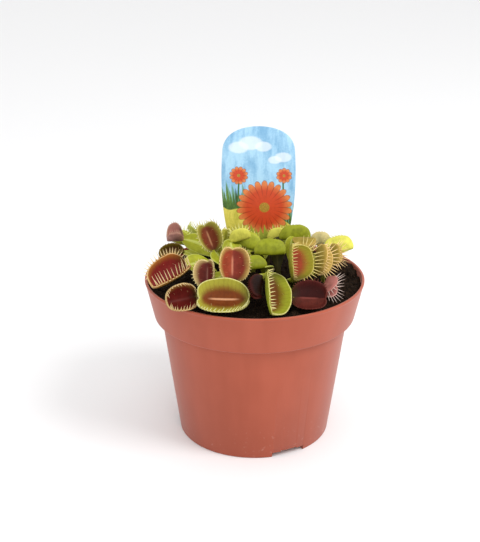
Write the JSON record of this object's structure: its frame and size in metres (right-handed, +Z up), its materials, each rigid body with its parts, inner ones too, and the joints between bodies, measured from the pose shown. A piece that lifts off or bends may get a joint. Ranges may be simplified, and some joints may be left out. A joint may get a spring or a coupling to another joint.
{
  "type": "potted venus flytrap",
  "caption": "Round plastic pot filled with peat, holding a low rosette of toothed trap leaves and an upright printed plant label.",
  "frame": {"origin": "centre of the pot's foot, on the surface that it stands on", "axes": "+Z up along the pot's axis, -Y to the front, +X to the right seen from the front"},
  "size_m": [0.12, 0.12, 0.167],
  "materials": {
    "pot_plastic": "satin moulded plastic, terracotta colour",
    "peat": "loose dark peat with fibres",
    "label_card": "printed plastic sheet",
    "leaf": "waxy leaf, green stalk and margins with a red inside"
  },
  "bodies": {
    "root": {"pot": "pot_plastic", "soil": "peat", "plant_label": "label_card", "leaf_01": "leaf", "leaf_02": "leaf", "leaf_03": "leaf", "leaf_04": "leaf", "leaf_05": "leaf", "leaf_06": "leaf", "leaf_07": "leaf", "leaf_08": "leaf", "leaf_09": "leaf", "leaf_10": "leaf", "leaf_11": "leaf", "leaf_12": "leaf", "leaf_13": "leaf", "leaf_14": "leaf", "leaf_15": "leaf", "leaf_16": "leaf", "leaf_17": "leaf", "leaf_18": "leaf", "leaf_19": "leaf", "leaf_20": "leaf", "leaf_21": "leaf", "leaf_22": "leaf", "leaf_23": "leaf", "leaf_24": "leaf", "leaf_25": "leaf", "leaf_26": "leaf", "leaf_27": "leaf", "leaf_28": "leaf", "leaf_29": "leaf"}
  },
  "joints": []
}
